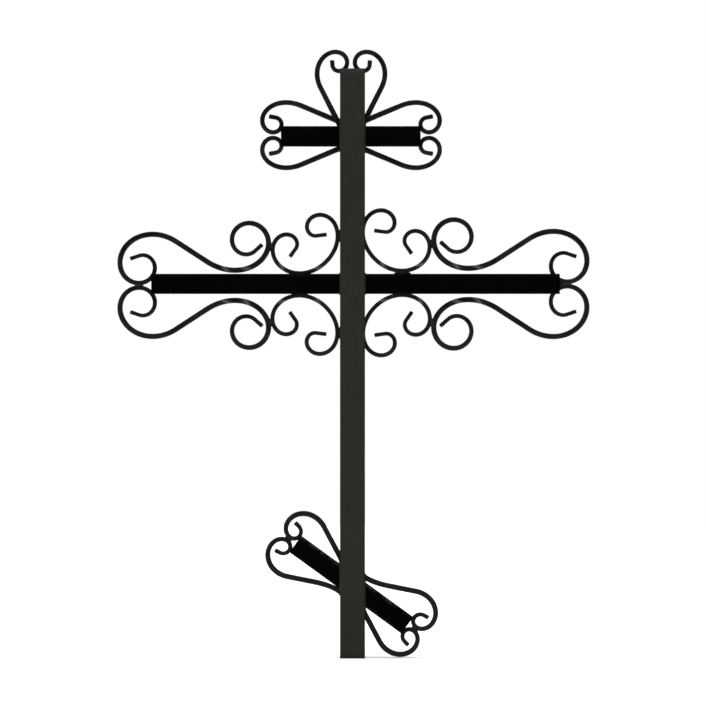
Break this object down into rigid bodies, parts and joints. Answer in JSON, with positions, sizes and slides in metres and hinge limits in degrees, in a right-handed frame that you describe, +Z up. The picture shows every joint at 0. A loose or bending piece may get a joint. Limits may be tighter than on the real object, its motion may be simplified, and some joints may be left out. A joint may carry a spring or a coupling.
{
  "type": "wrought iron cross",
  "caption": "Wrought iron grave cross with a short upper bar, a main bar and a slanting foot bar, dressed with bent scrolls, set upright in the ground by its post.",
  "frame": {"origin": "middle of the post's flat lower end, where the cross meets the ground", "axes": "+Z up the post, +X to the right seen from the front, the front faces -Y"},
  "size_m": [0.9437, 0.05, 1.2162],
  "materials": {
    "post": "matt charcoal paint on square steel tube",
    "bar": "deep black satin paint on square steel tube",
    "scroll": "satin black paint on hand-bent square bar, slightly rubbed on the edges"
  },
  "bodies": {
    "root": {"post": "post", "title_bar_left": "bar", "title_bar_right": "bar", "main_bar_left": "bar", "main_bar_right": "bar", "foot_bar_left": "bar", "foot_bar_right": "bar", "s_scroll_upper_left": "scroll", "s_scroll_upper_right": "scroll", "s_scroll_lower_left": "scroll", "s_scroll_lower_right": "scroll", "c_scroll_upper_left": "scroll", "c_scroll_upper_right": "scroll", "c_scroll_lower_left": "scroll", "c_scroll_lower_right": "scroll", "title_scroll_upper_left": "scroll", "title_scroll_upper_right": "scroll", "title_scroll_lower_left": "scroll", "title_scroll_lower_right": "scroll", "foot_scroll_upper_left": "scroll", "foot_scroll_upper_right": "scroll", "foot_scroll_lower_left": "scroll", "foot_scroll_lower_right": "scroll", "crown_scroll_left": "scroll", "crown_scroll_right": "scroll"}
  },
  "joints": []
}
